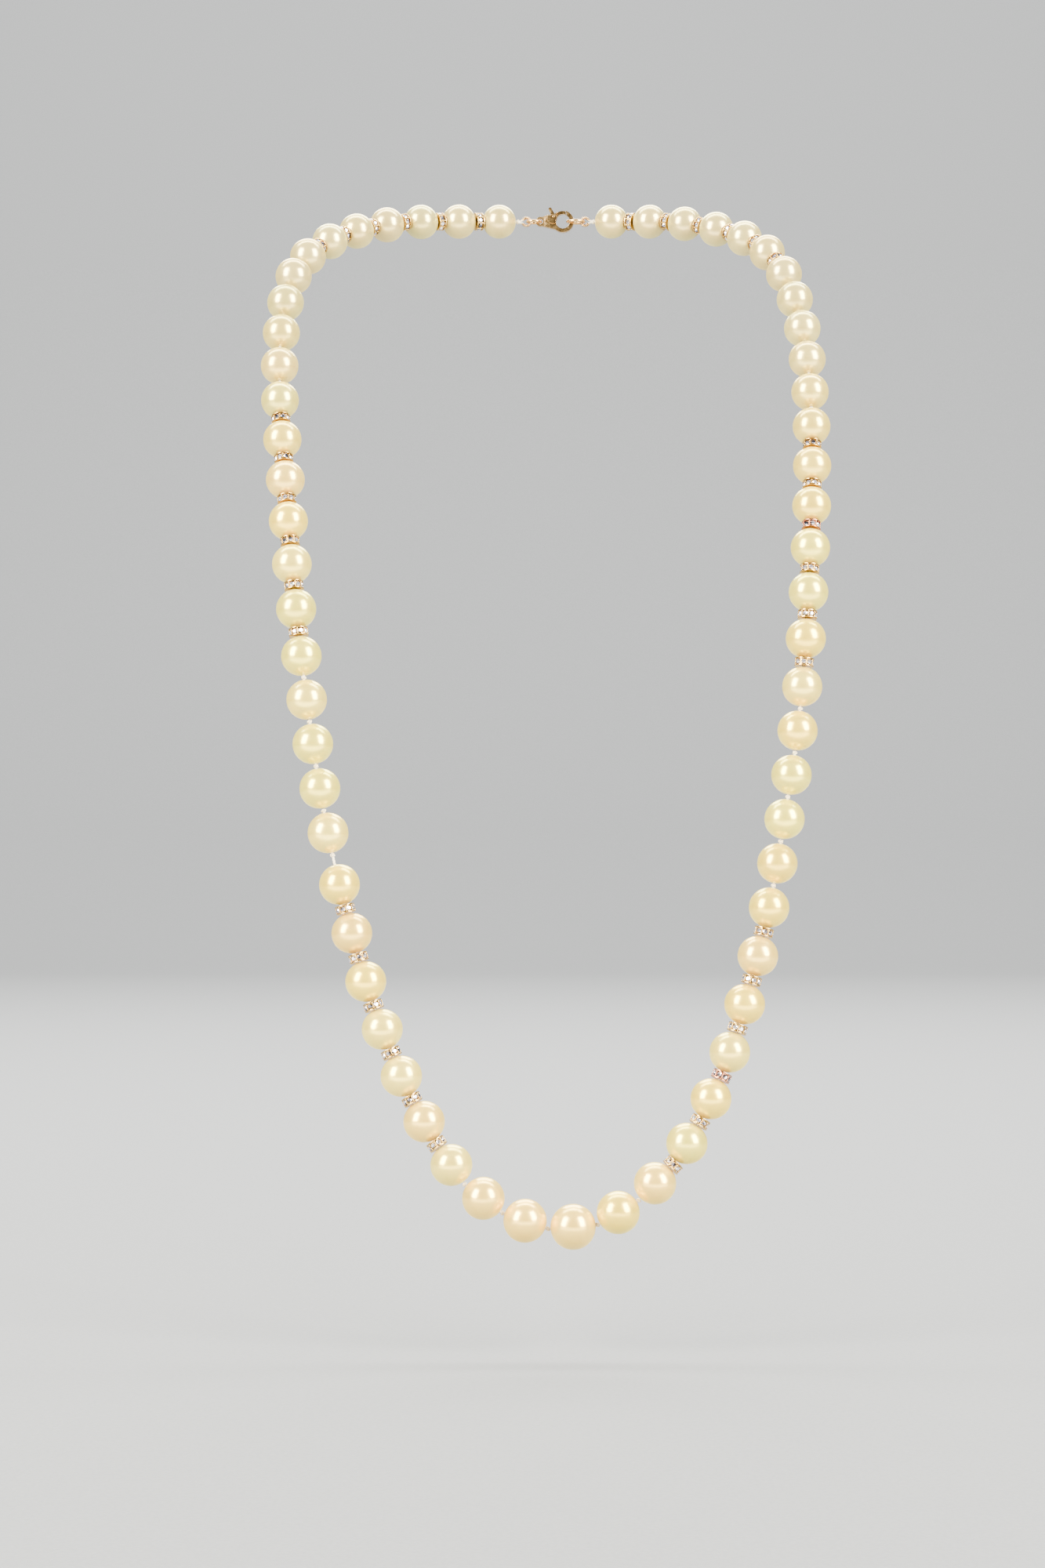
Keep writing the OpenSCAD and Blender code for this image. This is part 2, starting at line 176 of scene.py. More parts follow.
def make_floor():
    """A plain pale floor that sweeps up well behind the necklace."""
    drop = 30 * MM
    wide = 3.2
    deep = 2.95
    sweep = 0.7
    back = 2.4
    wall = 3
    steps = 16
    bpy.ops.object.select_all(action="DESELECT")
    bpy.ops.mesh.primitive_plane_add(size=1, location=(0, 0, 0))
    floor = bpy.context.object
    floor.name = "floor"
    floor.dimensions = (wide, deep, 0)
    floor.location = (0, back - sweep - deep / 2, cad_low.z - drop)
    bpy.ops.object.transform_apply()
    edit(floor)
    pick(floor, "EDGE", lambda v: v.y > back - sweep - MM)
    turn = math.pi / 2 / steps
    length = 2 * sweep * math.sin(turn / 2)
    for i in range(steps):
        a = turn * (i + 0.5)
        bpy.ops.mesh.extrude_region_move(
            TRANSFORM_OT_translate={"value": (0, length * math.cos(a), length * math.sin(a))}
        )
    bpy.ops.mesh.extrude_region_move(TRANSFORM_OT_translate={"value": (0, 0, wall)})
    bpy.ops.object.mode_set(mode="OBJECT")
    bpy.ops.object.shade_smooth()
    floor.data.materials.append(floor_paper())


# ---------------------------------------------------------------- materials


def new_material(name):
    """A material with its shader, and a short way to add and join nodes."""
    material = bpy.data.materials.new(name)
    material.use_nodes = True
    nodes, links = material.node_tree.nodes, material.node_tree.links
    shader = nodes["Principled BSDF"]

    def add(kind, inputs=None, **settings):
        node = nodes.new(kind)
        for key, value in settings.items():
            setattr(node, key, value)
        for key, value in (inputs or {}).items():
            if isinstance(value, bpy.types.NodeSocket):
                links.new(value, node.inputs[key])
            else:
                node.inputs[key].default_value = value
        return node

    return material, shader, add, links


def ramp(add, factor, stops):
    """A colour ramp with its stops as (position, colour)."""
    node = add("ShaderNodeValToRGB", {"Fac": factor})
    while len(node.color_ramp.elements) < len(stops):
        node.color_ramp.elements.new(0.5)
    for element, (position, colour) in zip(node.color_ramp.elements, stops):
        element.position = position
        element.color = (*colour, 1)
    return node.outputs["Color"]


def floor_paper():
    """Matt paper, pale and a little warm."""
    material, shader, add, links = new_material("floor_paper")
    place = add("ShaderNodeTexCoord").outputs["Object"]
    fibre = add("ShaderNodeTexNoise", {"Vector": place, "Scale": 900.0, "Detail": 3.0})
    tone = ramp(add, fibre.outputs["Fac"], [(0.3, (0.164, 0.169, 0.172)), (0.7, (0.184, 0.189, 0.193))])
    links.new(tone, shader.inputs["Base Color"])
    shader.inputs["Roughness"].default_value = 0.9
    return material


def nacre(name, glow, orient, film):
    """Nacre: a cream body under thin layers, which give the soft double glow and the overtone.

    Glow is the tint of the sheen at the pearl's edge, orient that of its highlights, and film
    the thickness of one layer in nanometres.
    """
    material, shader, add, links = new_material(name)
    place = add("ShaderNodeTexCoord").outputs["Object"]
    body = add("ShaderNodeAttribute", attribute_name="body_colour").outputs["Color"]
    cloud = add("ShaderNodeTexNoise", {"Vector": place, "Scale": 190.0, "Detail": 2.0})
    cloudy = ramp(add, cloud.outputs["Fac"], [(0.30, (0.95, 0.94, 0.92)), (0.72, (1.0, 1.0, 1.0))])
    clouded = add("ShaderNodeMix", data_type="RGBA", blend_type="MULTIPLY")
    clouded.inputs[MIX_FACTOR].default_value = 1.0
    links.new(body, clouded.inputs[MIX_A])
    links.new(cloudy, clouded.inputs[MIX_B])
    links.new(clouded.outputs[MIX_RESULT], shader.inputs["Base Color"])
    polish = add("ShaderNodeTexNoise", {"Vector": place, "Scale": 420.0, "Detail": 4.0})
    smooth = add(
        "ShaderNodeMapRange",
        {"Value": polish.outputs["Fac"], "To Min": 0.21, "To Max": 0.29},
    )
    links.new(smooth.outputs["Result"], shader.inputs["Roughness"])
    growth = add("ShaderNodeTexNoise", {"Vector": place, "Scale": 1500.0, "Detail": 2.0})
    skin = add(
        "ShaderNodeBump",
        {"Height": growth.outputs["Fac"], "Strength": 0.03, "Distance": 0.05 * MM},
    )
    links.new(skin.outputs["Normal"], shader.inputs["Normal"])
    shader.inputs["Metallic"].default_value = 0.55
    shader.inputs["Subsurface Weight"].default_value = 0.18
    shader.inputs["Subsurface Radius"].default_value = (1.0, 0.72, 0.42)
    shader.inputs["Subsurface Scale"].default_value = 2.2 * MM
    shader.inputs["Specular IOR Level"].default_value = 0.85
    shader.inputs["Specular Tint"].default_value = (*orient, 1)
    shader.inputs["Coat Weight"].default_value = 0.5
    shader.inputs["Coat Roughness"].default_value = 0.20
    shader.inputs["Coat IOR"].default_value = 1.55
    shader.inputs["Sheen Weight"].default_value = 0.5
    shader.inputs["Sheen Roughness"].default_value = 0.4
    shader.inputs["Sheen Tint"].default_value = (*glow, 1)
    shader.inputs["Thin Film Thickness"].default_value = film
    shader.inputs["Thin Film IOR"].default_value = 1.42
    return material


def silk_thread():
    """Cream silk, twisted from plies, with a soft sheen."""
    material, shader, add, links = new_material("silk_thread")
    place = add("ShaderNodeTexCoord").outputs["Object"]
    fibre = add("ShaderNodeTexNoise", {"Vector": place, "Scale": 5200.0, "Detail": 3.0})
    tone = ramp(add, fibre.outputs["Fac"], [(0.3, (0.76, 0.66, 0.47)), (0.7, (0.90, 0.82, 0.65))])
    links.new(tone, shader.inputs["Base Color"])
    fuzz = add(
        "ShaderNodeBump",
        {"Height": fibre.outputs["Fac"], "Strength": 0.35, "Distance": 0.03 * MM},
    )
    links.new(fuzz.outputs["Normal"], shader.inputs["Normal"])
    shader.inputs["Roughness"].default_value = 0.5
    shader.inputs["Sheen Weight"].default_value = 0.4
    shader.inputs["Sheen Roughness"].default_value = 0.35
    shader.inputs["Sheen Tint"].default_value = (1.0, 0.96, 0.88, 1)
    return material


def polished_gold(name, dark, light):
    """Plated gold: hairline scratches, and a little dulling in the polish."""
    material, shader, add, links = new_material(name)
    place = add("ShaderNodeTexCoord").outputs["Object"]
    dull = add("ShaderNodeTexNoise", {"Vector": place, "Scale": 1100.0, "Detail": 4.0})
    tone = ramp(add, dull.outputs["Fac"], [(0.30, dark), (0.65, light)])
    links.new(tone, shader.inputs["Base Color"])
    worn = add(
        "ShaderNodeMapRange",
        {"Value": dull.outputs["Fac"], "To Min": 0.12, "To Max": 0.32},
    )
    links.new(worn.outputs["Result"], shader.inputs["Roughness"])
    stretched = add("ShaderNodeMapping", {"Vector": place, "Scale": (1.0, 1.0, 14.0)})
    hairline = add(
        "ShaderNodeTexNoise",
        {"Vector": stretched.outputs["Vector"], "Scale": 2600.0, "Detail": 2.0},
    )
    scratches = add(
        "ShaderNodeBump",
        {"Height": hairline.outputs["Fac"], "Strength": 0.12, "Distance": 0.02 * MM},
    )
    links.new(scratches.outputs["Normal"], shader.inputs["Normal"])
    shader.inputs["Metallic"].default_value = 1.0
    return material


def crystal_with_painted_flashes():
    """A cut stone over its foil: clear facets, with painted reflections: bright, dark and lilac flashes
    painted into its colour.
    """
    material, shader, add, links = new_material("crystal_with_painted_flashes")
    place = add("ShaderNodeTexCoord").outputs["Object"]
    # Painted reflection: a noise paints bright, lilac and dark facet flashes into the stone's colour.
    painted_flashes = add("ShaderNodeTexNoise", {"Vector": place, "Scale": 700.0, "Detail": 1.0})
    tone = ramp(
        add,
        painted_flashes.outputs["Fac"],
        [(0.38, (0.05, 0.05, 0.07)), (0.48, (0.62, 0.57, 0.70)), (0.60, (0.97, 0.96, 1.0))],
    )
    links.new(tone, shader.inputs["Base Color"])
    shader.inputs["Metallic"].default_value = 0.85
    shader.inputs["Roughness"].default_value = 0.06
    shader.inputs["Coat Weight"].default_value = 1.0
    shader.inputs["Coat Roughness"].default_value = 0.02
    shader.inputs["Coat IOR"].default_value = 1.6
    return material


# ---------------------------------------------------------------- the string, as the frame holds it


def solids_of(node):
    """A CAD node's mesh and its separate solids, each a list of faces that the mesh holds."""
    mesh = bmesh.new()
    mesh.from_mesh(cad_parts[node].data)
    bmesh.ops.remove_doubles(mesh, verts=mesh.verts, dist=1e-7)
    waiting = set(mesh.faces)
    solids = []
    while waiting:
        newest = [waiting.pop()]
        solid = list(newest)
        while newest:
            face = newest.pop()
            beside = {f for e in face.edges for f in e.link_faces} & waiting
            waiting -= beside
            newest += beside
            solid += beside
        solids.append(solid)
    return mesh, solids


def read_pearls(node):
    """Middle, radius and drilling of each pearl: the faces that look inwards are its drill hole."""
    mesh, solids = solids_of(node)
    found = []
    for solid in solids:
        corners = np.array([v.co for f in solid for v in f.verts])
        rough_middle = Vector((corners.min(0) + corners.max(0)) / 2)
        rims = {
            tuple(v.co)
            for f in solid
            if f.normal.dot(f.calc_center_median() - rough_middle) < 0
            for v in f.verts
        }
        rims = np.array(sorted(rims))
        middle = rims.mean(0)
        way = np.linalg.svd(rims - middle)[2][0]
        radius = np.linalg.norm(corners - middle, axis=1).max()
        found.append((Vector(middle), float(radius), Vector(way)))
    mesh.free()
    return found


def follow_string():
    """All the pearls by side and number, counted up each side from the middle knot."""
    pearls = {}
    for side, x_sign in (("left", -1), ("right", 1)):
        loose = [
            (node, *place)
            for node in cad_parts
            if node.startswith("pearls_")
            for place in read_pearls(node)
            if place[0].x * x_sign > 0
        ]
        last = min(loose, key=lambda p: p[1].z)
        for number in range(1, PEARLS_EACH_SIDE + 1):
            node, middle, radius, way = min(loose, key=lambda p: (p[1] - last[1]).length)
            loose.remove((node, middle, radius, way))
            onward = middle - last[1] if number > 1 else Vector((x_sign, 0, 1))
            way = way if way.dot(onward) > 0 else -way
            last = (node, middle, radius, way)
            pearls[side, number] = Pearl(side, number, node, middle, radius, way)
    return pearls


def has_rondelle(gap):
    """A gap has the number of the pearl below it."""
    return gap >= FIRST_RONDELLE and (gap - FIRST_RONDELLE) % PATTERN < RONDELLES_IN_PATTERN


def bend(pearls, side, gap):
    """Where the silk bends between two pearls, just under the upper one."""
    if gap == PEARLS_EACH_SIDE:
        top = pearls[side, gap]
        return top.middle + top.way * (top.radius + KNOT_SPACE)
    above = pearls[side, gap + 1]
    return above.middle - above.way * (
        above.radius + (FACE_SPACE if has_rondelle(gap) else KNOT_SPACE)
    )


def body_of(node):
    """pearls_row_03 and silk_row_03 ride on row_03."""
    return node.split("_", 1)[1]


# ---------------------------------------------------------------- modelling by hand


def only(piece):
    """Makes a piece the one that the next operators act on."""
    bpy.ops.object.select_all(action="DESELECT")
    piece.select_set(True)
    bpy.context.view_layer.objects.active = piece


def pick(piece, kind, wanted):
    """In edit mode, selects the parts whose corners and middle all pass the test."""
    bpy.ops.mesh.select_mode(type=kind)
    bpy.ops.mesh.select_all(action="DESELECT")
    mesh = bmesh.from_edit_mesh(piece.data)
    parts = {"VERT": mesh.verts, "EDGE": mesh.edges, "FACE": mesh.faces}[kind]
    for part in parts:
        corners = [part.co] if kind == "VERT" else [v.co for v in part.verts]
        middle = sum(corners, Vector()) / len(corners)
        if all(wanted(place) for place in [middle, *corners]):
            part.select_set(True)
    mesh.select_flush_mode()
    bmesh.update_edit_mesh(piece.data)


def across(place):
    """How far a place is from the upright axis."""
    return math.hypot(place.x, place.y)


def keep_level_edges(piece, slack):
    """In edit mode, lets go of the picked edges that climb by more than the slack."""
    mesh = bmesh.from_edit_mesh(piece.data)
    for edge in mesh.edges:
        a, b = edge.verts
        edge.select_set(edge.select and abs(a.co.z - b.co.z) < slack)
    bmesh.update_edit_mesh(piece.data)


def edit(piece):
    only(piece)
    bpy.ops.object.mode_set(mode="EDIT")


def done(piece, smooth_angle=35):
    """Leaves edit mode with the faces turned outwards and the soft edges shaded soft."""
    bpy.ops.mesh.select_all(action="SELECT")
    bpy.ops.mesh.normals_make_consistent(inside=False)
    bpy.ops.object.mode_set(mode="OBJECT")
    only(piece)
    bpy.ops.object.shade_smooth_by_angle(angle=math.radians(smooth_angle))


def finish_modifiers(piece):
    only(piece)
    for modifier in list(piece.modifiers):
        bpy.ops.object.modifier_apply(modifier=modifier.name)


def joined(pieces, name):
    bpy.ops.object.select_all(action="DESELECT")
    for piece in pieces:
        piece.select_set(True)
    bpy.context.view_layer.objects.active = pieces[0]
    if len(pieces) > 1:
        bpy.ops.object.join()
    whole = bpy.context.object
    whole.name = name
    whole.data.name = name
    return whole


def upright_to(way, turn=0.0):
    """Turns +Z to the given way, after a turn about it."""
    return way.to_track_quat("Z", "Y").to_matrix().to_4x4() @ Matrix.Rotation(turn, 4, "Z")


def copy_of(template, name, placing):
    """A copy with its own mesh, whose place is in the mesh."""
    piece = bpy.data.objects.new(name, template.data.copy())
    piece.data.name = name
    piece.data.transform(placing)
    bpy.context.collection.objects.link(piece)
    return piece


def put_away(*templates):
    for template in templates:
        bpy.data.objects.remove(template)


def wire(name, places, thickness, closed=False, sides=2, profile=None, tilts=None):
    """A round wire, or a profile, along the given places, as a mesh."""
    path = bpy.data.curves.new(name, "CURVE")
    path.dimensions = "3D"
    path.twist_mode = "MINIMUM"
    path.use_fill_caps = not closed
    spline = path.splines.new("POLY")
    spline.points.add(len(places) - 1)
    for point, place in zip(spline.points, places):
        point.co = (*place, 1)
    if tilts:
        for point, tilt in zip(spline.points, tilts):
            point.tilt = tilt
    spline.use_cyclic_u = closed
    if profile:
        path.bevel_mode = "OBJECT"
        path.bevel_object = profile
    else:
        path.bevel_depth = thickness / 2
        path.bevel_resolution = sides
    piece = bpy.data.objects.new(name, path)
    bpy.context.collection.objects.link(piece)
    only(piece)
    bpy.ops.object.convert(target="MESH")
    piece = bpy.context.object
    edit(piece)
    bpy.ops.mesh.select_all(action="SELECT")
    bpy.ops.mesh.remove_doubles(threshold=1e-7)
    done(piece, 50)
    return piece


# ---------------------------------------------------------------- pearls


def model_pearl():
    """A round pearl of one metre radius, drilled through, with its drill hole's rims eased."""
    rings = 40
    bore = math.sin(math.pi / rings)
    bpy.ops.object.select_all(action="DESELECT")
    bpy.ops.mesh.primitive_uv_sphere_add(segments=56, ring_count=rings, radius=1)
    pearl = bpy.context.object
    edit(pearl)
    pick(pearl, "VERT", lambda v: across(v) < bore * 0.5)
    bpy.ops.mesh.delete(type="VERT")
    pick(pearl, "VERT", lambda v: across(v) < bore * 1.05)
    bpy.ops.mesh.select_mode(type="EDGE")
    bpy.ops.mesh.bridge_edge_loops()
    pick(pearl, "EDGE", lambda v: across(v) < bore * 1.05)
    keep_level_edges(pearl, 0.01)
    bpy.ops.mesh.bevel(offset=0.018, segments=3, affect="EDGES")
    done(pearl, 60)
    return pearl


# Body colours, lighter on the pearls of the front and darker on those of the shoulders.
CREAM = (0.95, 0.69, 0.08)
IVORY = (0.95, 0.74, 0.15)
ROSE = (0.97, 0.66, 0.13)
GREEN = (0.86, 0.73, 0.11)
KHAKI = (0.60, 0.50, 0.22)
TINTS = [CREAM, IVORY, CREAM, ROSE, GREEN, IVORY]
FIRST_DARKER_PEARL = 17
PEARLS_TO_DARKEST = 7
DARKEST = 0.75


def varied(side, number, kind):
    """A fixed value from 0 to 1 for one pearl, different for each kind of difference."""
    seed = number * 12.9898 + (78.233 if side == "left" else 37.719) + kind * 4.1414
    return math.sin(seed) * 43758.5453 % 1.0


def body_colour(pearl):
    """Each pearl's own cream. The pearls past the shoulders are darker."""
    tint = TINTS[int(varied(pearl.side, pearl.number, 1) * len(TINTS))]
    shade = 0.95 + 0.07 * varied(pearl.side, pearl.number, 2)
    past = (pearl.number - FIRST_DARKER_PEARL) / PEARLS_TO_DARKEST
    darker = min(max(past, 0), 1) * DARKEST
    return [shade * ((1 - darker) * t + darker * k) for t, k in zip(tint, KHAKI)]


def string_pearls(pearls):
    """Every pearl is a little off round, turned about its silk, and has its own colour."""
    nacres = [
        nacre("nacre_rose", (1.0, 0.78, 0.24), (1.0, 0.88, 0.62), 300.0),
        nacre("nacre_cream", (1.0, 0.80, 0.20), (1.0, 0.92, 0.56), 0.0),
        nacre("nacre_green", (1.0, 0.83, 0.26), (0.95, 1.0, 0.62), 430.0),
        nacre("nacre_silver", (1.0, 0.82, 0.28), (0.97, 0.95, 0.66), 470.0),
    ]
    unevenness = bpy.data.textures.new("unevenness", "CLOUDS")
    unevenness.noise_scale = 9 * MM
    template = model_pearl()
    for (side, number), pearl in pearls.items():
        turn = 2 * math.pi * varied(side, number, 3)
        wide = 1 + 0.012 * (varied(side, number, 4) - 0.5)
        long = 0.997 - 0.008 * varied(side, number, 5)
        if (side, number) in OVAL_PEARLS:
            wide = OVAL
        shape = Matrix.Diagonal((pearl.radius * wide, pearl.radius, pearl.radius * long, 1))
        placing = Matrix.Translation(pearl.middle) @ upright_to(pearl.way, turn) @ shape
        piece = copy_of(template, f"pearl_{side}_{number:02d}", placing)
        swell = piece.modifiers.new("swell", "DISPLACE")
        swell.texture = unevenness
        swell.texture_coords = "GLOBAL"
        swell.strength = 0.10 * MM
        finish_modifiers(piece)
        colour = body_colour(pearl)
        attribute = piece.data.color_attributes.new("body_colour", "FLOAT_COLOR", "POINT")
        attribute.data.foreach_set("color", [*colour, 1] * len(piece.data.vertices))
        piece.data.materials.append(nacres[int(varied(side, number, 6) * len(nacres))])
        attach(piece, body_of(pearl.node))
        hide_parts(pearl.node)
    put_away(template)


# ---------------------------------------------------------------- silk


def model_knot():
    """A tight knot round the upright silk: one thread that goes twice round and crosses itself."""
    steps = 84
    wander = 0.17 * MM
    middle = 0.37 * MM
    rise = 0.27 * MM
    places = [
        (
            (middle + wander * math.cos(3 * t)) * math.cos(2 * t),
            (middle + wander * math.cos(3 * t)) * math.sin(2 * t),
            rise * math.sin(3 * t),
        )
        for t in (2 * math.pi * i / steps for i in range(steps))
    ]
    return wire("knot", places, 0.42 * MM, closed=True, sides=2)


def model_plies():
    """The outline of three twisted plies."""
    outline = bpy.data.curves.new("plies", "CURVE")
    outline.dimensions = "2D"
    spline = outline.splines.new("POLY")
    corners = 18
    spline.points.add(corners - 1)
    for i, point in enumerate(spline.points):
        a = 2 * math.pi * i / corners
        r = SILK / 2 * (0.86 + 0.14 * math.cos(3 * a))
        point.co = (r * math.cos(a), r * math.sin(a), 0, 1)
    spline.use_cyclic_u = True
    plies = bpy.data.objects.new("plies", outline)
    bpy.context.collection.objects.link(plies)
    return plies


def thread(name, corners, plies):
    """Twisted silk along straight lengths between corners."""
    step = 0.3 * MM
    twist_length = 2.6 * MM
    places = [corners[0]]
    for a, b in zip(corners, corners[1:]):
        count = max(1, round((b - a).length / step))
        places += [a.lerp(b, (i + 1) / count) for i in range(count)]
    run = 0.0
    tilts = [0.0]
    for a, b in zip(places, places[1:]):
        run += (b - a).length
        tilts.append(2 * math.pi * run / twist_length)
    return wire(name, places, SILK, profile=plies, tilts=tilts)


def row_corners(pearls, side, lowest, highest):
    """The silk's corners on one side of a row, from its lower bend to its upper one."""
    start = bend(pearls, side, lowest - 1)
    if lowest > 1 and not has_rondelle(lowest - 1):
        start = start + pearls[side, lowest].way * (KNOT / 2 + 0.05 * MM)
    end = bend(pearls, side, highest)
    if has_rondelle(highest):
        end = end - pearls[side, highest].way * SILK_END_PLAY
    between = [bend(pearls, side, gap) for gap in range(lowest, highest)]
    return [start, *between, end]


def knots_at(template, pearls, side, gaps):
    knots = []
    for gap in gaps:
        if not has_rondelle(gap):
            below = pearls[side, max(gap, 1)].way
            above = pearls[side, min(gap + 1, PEARLS_EACH_SIDE)].way
            way = (below + above).normalized() if gap else below
            turn = 2 * math.pi * varied(side, gap, 7)
            placing = Matrix.Translation(bend(pearls, side, gap)) @ upright_to(way, turn)
            knots.append(copy_of(template, "knot", placing))
    return knots


def end_loop(pearls, side, gimp_middle, inward, up):
    """Past the end knot the silk goes round inside the gimp and back to the knot."""
    knot = bend(pearls, side, PEARLS_EACH_SIDE)
    half_mouth = GIMP_MOUTH * 0.45
    steps = 26
    loop = [
        gimp_middle + GIMP_LOOP * (math.sin(a) * up - math.cos(a) * inward)
        for a in (half_mouth + (2 * math.pi - 2 * half_mouth) * i / steps for i in range(steps + 1))
    ]
    return wire("end_loop", [knot, *loop, knot], 0.5 * MM, sides=2)


def string_silk(pearls, clasp):
    silk = silk_thread()
    knot = model_knot()
    plies = model_plies()

    def dress(parts, name, node):
        piece = joined(parts, name)
        piece.data.materials.clear()
        piece.data.materials.append(silk)
        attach(piece, body_of(node))
        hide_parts(node)

    for row in range(1, LOWEST_ROW):
        lowest = 2 * (LOWEST_ROW - row) + 1
        node = f"silk_row_{row:02d}"
        for side in ("left", "right"):
            corners = row_corners(pearls, side, lowest, lowest + 1)
            knots = knots_at(knot, pearls, side, [lowest, lowest + 1])
            dress([thread("silk", corners, plies), *knots], f"silk_{side}_{body_of(node)}", node)

    left = row_corners(pearls, "left", 1, 2)
    right = row_corners(pearls, "right", 1, 2)
    knots = knots_at(knot, pearls, "right", [0, 1, 2]) + knots_at(knot, pearls, "left", [1, 2])
    dress([thread("silk", [*reversed(left), *right[1:]], plies), *knots], "silk_front",
          f"silk_row_{LOWEST_ROW}")

    first = 2 * LOWEST_ROW + 1
    for side, gimp_middle, inward in (
        ("left", clasp.left_gimp, clasp.way),
        ("right", clasp.right_gimp, -clasp.way),
    ):
        corners = row_corners(pearls, side, first, PEARLS_EACH_SIDE)
        knots = knots_at(knot, pearls, side, range(first, PEARLS_EACH_SIDE + 1))
        loop = end_loop(pearls, side, gimp_middle, inward, clasp.up)
        dress([thread("silk", corners, plies), *knots, loop], f"silk_{side}_nape", "silk_nape")
    put_away(knot, plies)


# ---------------------------------------------------------------- rondelles


def model_setting():
    """Two lipped flanges on a drilled core, with a prong between every two stones."""
    half = RONDELLE_THICK / 2
    rim = RONDELLE / 2
    channel = half - FLANGE_THICK
    bpy.ops.object.select_all(action="DESELECT")
    bpy.ops.mesh.primitive_cylinder_add(vertices=48, radius=rim, depth=RONDELLE_THICK)
    setting = bpy.context.object
    edit(setting)
    pick(setting, "FACE", lambda v: abs(v.z) > half * 0.99)
    bpy.ops.mesh.inset(thickness=0.22 * MM, use_individual=True)
    bpy.ops.mesh.inset(thickness=0.10 * MM, depth=-0.09 * MM, use_individual=True)
    bpy.ops.mesh.inset(thickness=rim - RONDELLE_BORE / 2 - 0.32 * MM, use_individual=True)
    bpy.ops.mesh.delete(type="FACE")
    pick(setting, "EDGE", lambda v: across(v) < RONDELLE_BORE / 2 * 1.02)
    bpy.ops.mesh.bridge_edge_loops()
    for height in (channel, -channel):
        bpy.ops.mesh.select_all(action="SELECT")
        bpy.ops.mesh.bisect(plane_co=(0, 0, height), plane_no=(0, 0, 1))
    pick(setting, "FACE", lambda v: across(v) > rim * 0.99 and abs(v.z) < channel * 1.01)
    bpy.ops.mesh.extrude_region_move()
    inner = (rim - CHANNEL_DEPTH) / rim
    bpy.ops.transform.resize(value=(inner, inner, 1))
    pick(setting, "EDGE", lambda v: across(v) > rim * 0.99)
    keep_level_edges(setting, 0.01 * MM)
    bpy.ops.mesh.bevel(offset=0.09 * MM, segments=3, affect="EDGES")
    done(setting, 40)
    parts = [setting]
    prong = model_prong(channel)
    for i in range(STONES_ROUND):
        placing = Matrix.Rotation(2 * math.pi * i / STONES_ROUND, 4, "Z")
        parts.append(copy_of(prong, "prong", placing))
    put_away(prong)
    return joined(parts, "setting")


def model_prong(channel):
    """A little post with two beads that lap over the stones on each side of it."""
    out = RONDELLE / 2 - 0.22 * MM
    bpy.ops.object.select_all(action="DESELECT")
    bpy.ops.mesh.primitive_cylinder_add(
        vertices=8, radius=0.13 * MM, depth=2 * channel + 0.1 * MM, location=(out, 0, 0)
    )
    post = bpy.context.object
    bpy.ops.object.transform_apply()
    beads = []
    for side in (-1, 1):
        bpy.ops.mesh.primitive_uv_sphere_add(
            segments=10,
            ring_count=7,
            radius=0.21 * MM,
            location=(out + 0.06 * MM, 0, side * 0.42 * MM),
        )
        bead = bpy.context.object
        bpy.ops.transform.resize(value=(0.8, 1.15, 1.0))
        bpy.ops.object.transform_apply()
        beads.append(bead)
    prong = joined([post, *beads], "prong")
    edit(prong)
    done(prong, 50)
    return prong


def model_stone():
    """A round cut stone: table, crown and pavilion, with its table facing +X at the rim."""
    girdle_thick = 0.08 * MM
    crown = 0.26 * MM
    pavilion = 0.5 * MM
    bpy.ops.object.select_all(action="DESELECT")
    bpy.ops.mesh.primitive_cylinder_add(vertices=8, radius=STONE / 2, depth=girdle_thick)
    stone = bpy.context.object
    edit(stone)
    top = girdle_thick / 2
    pick(stone, "FACE", lambda v: v.z > top * 0.9)
    bpy.ops.mesh.extrude_region_move(TRANSFORM_OT_translate={"value": (0, 0, crown)})
    bpy.ops.transform.resize(value=(0.58, 0.58, 1))
    bpy.ops.transform.rotate(value=math.pi / 8, orient_axis="Z", center_override=(0, 0, 0))
    pick(stone, "FACE", lambda v: v.z < -top * 0.9)
    bpy.ops.mesh.extrude_region_move(TRANSFORM_OT_translate={"value": (0, 0, -pavilion)})
    bpy.ops.transform.resize(value=(0.3, 0.3, 1))
    bpy.ops.mesh.select_all(action="SELECT")
    bpy.ops.mesh.quads_convert_to_tris(quad_method="BEAUTY", ngon_method="CLIP")
    bpy.ops.mesh.normals_make_consistent(inside=False)
    bpy.ops.object.mode_set(mode="OBJECT")
    for face in stone.data.polygons:
        face.use_smooth = False
    seat = Matrix.Translation((RONDELLE / 2 - 0.42 * MM, 0, 0)) @ Matrix.Rotation(
        math.pi / 2, 4, "Y"
    )
    stone.data.transform(seat)
    return stone


